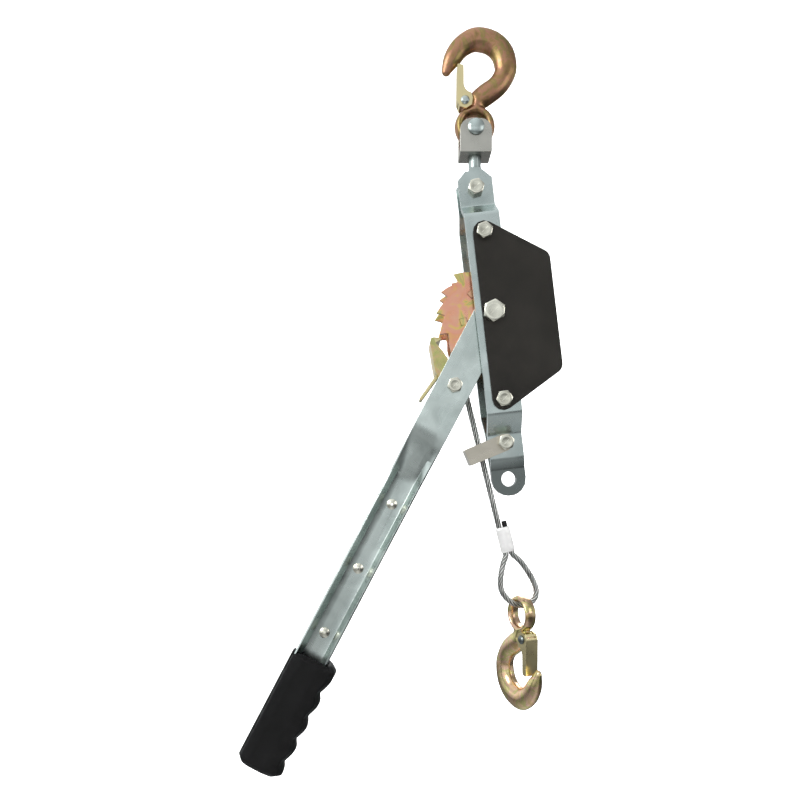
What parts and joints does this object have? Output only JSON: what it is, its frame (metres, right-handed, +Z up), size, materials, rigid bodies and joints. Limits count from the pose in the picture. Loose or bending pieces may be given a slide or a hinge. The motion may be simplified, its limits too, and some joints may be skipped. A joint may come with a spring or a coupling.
{
  "type": "come along winch",
  "caption": "Hand-operated ratchet lever winch with a wire rope drum between two straps, a long handle and latched hooks at both ends.",
  "frame": {"origin": "the saddle of the top hook, the inner top of its bowl, where a bar or chain carries the hanging winch", "axes": "+Z up against the pull, +X to the right across the front, +Y along the axle towards the far strap"},
  "size_m": [0.2711, 0.0706, 0.6418],
  "materials": {
    "yellow_zinc": "yellow zinc plate with pink and green tints",
    "iridescent_zinc": "iridescent zinc plate",
    "white_zinc": "bluish white zinc plate, satin",
    "bolt_zinc": "bright zinc plate",
    "black_coat": "black powder coat, satin",
    "rubber": "matt",
    "nickel": "satin nickel plate",
    "rope_wire": "bare galvanised wire",
    "aluminium": "pressed, bright",
    "spring_steel": "bright wire"
  },
  "bodies": {
    "top_hook": {"top_hook": "yellow_zinc", "top_latch_rivet": "white_zinc"},
    "top_latch": {"top_latch": "yellow_zinc"},
    "clevis": {"hook_clevis": "white_zinc", "clevis_pin": "white_zinc"},
    "swivel": {"swivel_stud": "white_zinc"},
    "frame": {"near_strap": "white_zinc", "far_strap": "white_zinc", "guard": "black_coat", "top_bolt": "bolt_zinc", "top_nut": "bolt_zinc", "upper_guard_bolt": "bolt_zinc", "upper_guard_nut": "bolt_zinc", "upper_guard_sleeve": "bolt_zinc", "lower_guard_bolt": "bolt_zinc", "lower_guard_nut": "bolt_zinc", "lower_guard_sleeve": "bolt_zinc", "axle_bolt": "bolt_zinc", "axle_nut": "bolt_zinc", "axle_bush": "bolt_zinc", "axle_washer_near": "bolt_zinc", "axle_washer_far": "bolt_zinc", "keeper_bolt": "bolt_zinc", "keeper_nut": "bolt_zinc", "holding_pawl_spring": "spring_steel"},
    "drum": {"drum_core": "iridescent_zinc", "rope_on_drum": "rope_wire", "ratchet_wheel_near": "iridescent_zinc", "ratchet_wheel_far": "iridescent_zinc"},
    "handle": {"handle_half_near": "white_zinc", "handle_half_far": "white_zinc", "handle_rivet_1": "bolt_zinc", "handle_rivet_2": "bolt_zinc", "handle_rivet_3": "bolt_zinc", "grip": "rubber", "drive_pawl_sleeve": "bolt_zinc", "drive_pawl_bolt": "bolt_zinc", "drive_pawl_ring": "bolt_zinc", "drive_pawl_spring": "spring_steel"},
    "drive_pawl": {"drive_pawl": "iridescent_zinc"},
    "holding_pawl": {"holding_pawl": "iridescent_zinc"},
    "keeper": {"rope_keeper": "nickel"},
    "rope_end": {"rope_line": "rope_wire", "ferrule": "aluminium", "rope_dead_end": "rope_wire", "rope_eye": "rope_wire"},
    "bottom_hook": {"bottom_hook": "yellow_zinc", "bottom_latch_rivet": "white_zinc"},
    "bottom_latch": {"bottom_latch": "yellow_zinc"}
  },
  "joints": [
    {"name": "hook_pivot", "type": "hinge", "parent": "top_hook", "child": "clevis", "pos_m": [-0.0012, 0, -0.0699], "axis": [0, 1, 0], "range_deg": [-20, 20]},
    {"name": "hook_swivel", "type": "hinge", "parent": "clevis", "child": "swivel", "pos_m": [-0.0012, 0, -0.095], "axis": [0, 0, 1], "continuous": true},
    {"name": "head_pivot", "type": "hinge", "parent": "swivel", "child": "frame", "pos_m": [-0.00122, 0, -0.12144], "axis": [0, 1, 0], "range_deg": [-20, 20]},
    {"name": "handle_swing", "type": "hinge", "parent": "frame", "child": "handle", "pos_m": [0.0115, 0, -0.2297], "axis": [0, 1, 0], "range_deg": [0, 90]},
    {"name": "drum_spin", "type": "hinge", "parent": "frame", "child": "drum", "pos_m": [0.0115, 0, -0.2297], "axis": [0, 1, 0], "range_deg": [-360, 22.5]},
    {"name": "rope_payout", "type": "slide", "parent": "frame", "child": "rope_end", "axis": [0.2419, 0, -0.9703], "range_m": [-0.0138, 0.2222], "deforming": ["rope_line"]},
    {"name": "drive_pawl_swing", "type": "hinge", "parent": "handle", "child": "drive_pawl", "pos_m": [-0.0197, 0, -0.28899], "axis": [0, 1, 0], "range_deg": [-15, 8], "stiffness_Nm_per_rad": 0.1},
    {"name": "holding_pawl_swing", "type": "hinge", "parent": "frame", "child": "holding_pawl", "pos_m": [0.00374, 0, -0.16365], "axis": [0, 1, 0], "range_deg": [-15, 8], "stiffness_Nm_per_rad": 0.1},
    {"name": "keeper_swing", "type": "hinge", "parent": "frame", "child": "keeper", "pos_m": [0.02398, 0, -0.33597], "axis": [0, 1, 0], "range_deg": [-12, 12]},
    {"name": "top_latch_swing", "type": "hinge", "parent": "top_hook", "child": "top_latch", "pos_m": [-0.01, 0, -0.0445], "axis": [0, 1, 0], "range_deg": [0, 15], "stiffness_Nm_per_rad": 0.05},
    {"name": "bottom_hook_swing", "type": "hinge", "parent": "rope_end", "child": "bottom_hook", "pos_m": [0.03907, 0, -0.47603], "axis": [0.9063, 0.4226, 0], "range_deg": [-6, 6]},
    {"name": "bottom_latch_swing", "type": "hinge", "parent": "bottom_hook", "child": "bottom_latch", "pos_m": [0.04268, -0.00774, -0.50311], "axis": [0.9063, 0.4226, 0], "range_deg": [0, 15], "stiffness_Nm_per_rad": 0.05}
  ],
  "couplings": [
    {"joint": "drum_spin", "follows": "rope_payout", "rad_per_m": -28.249}
  ]
}
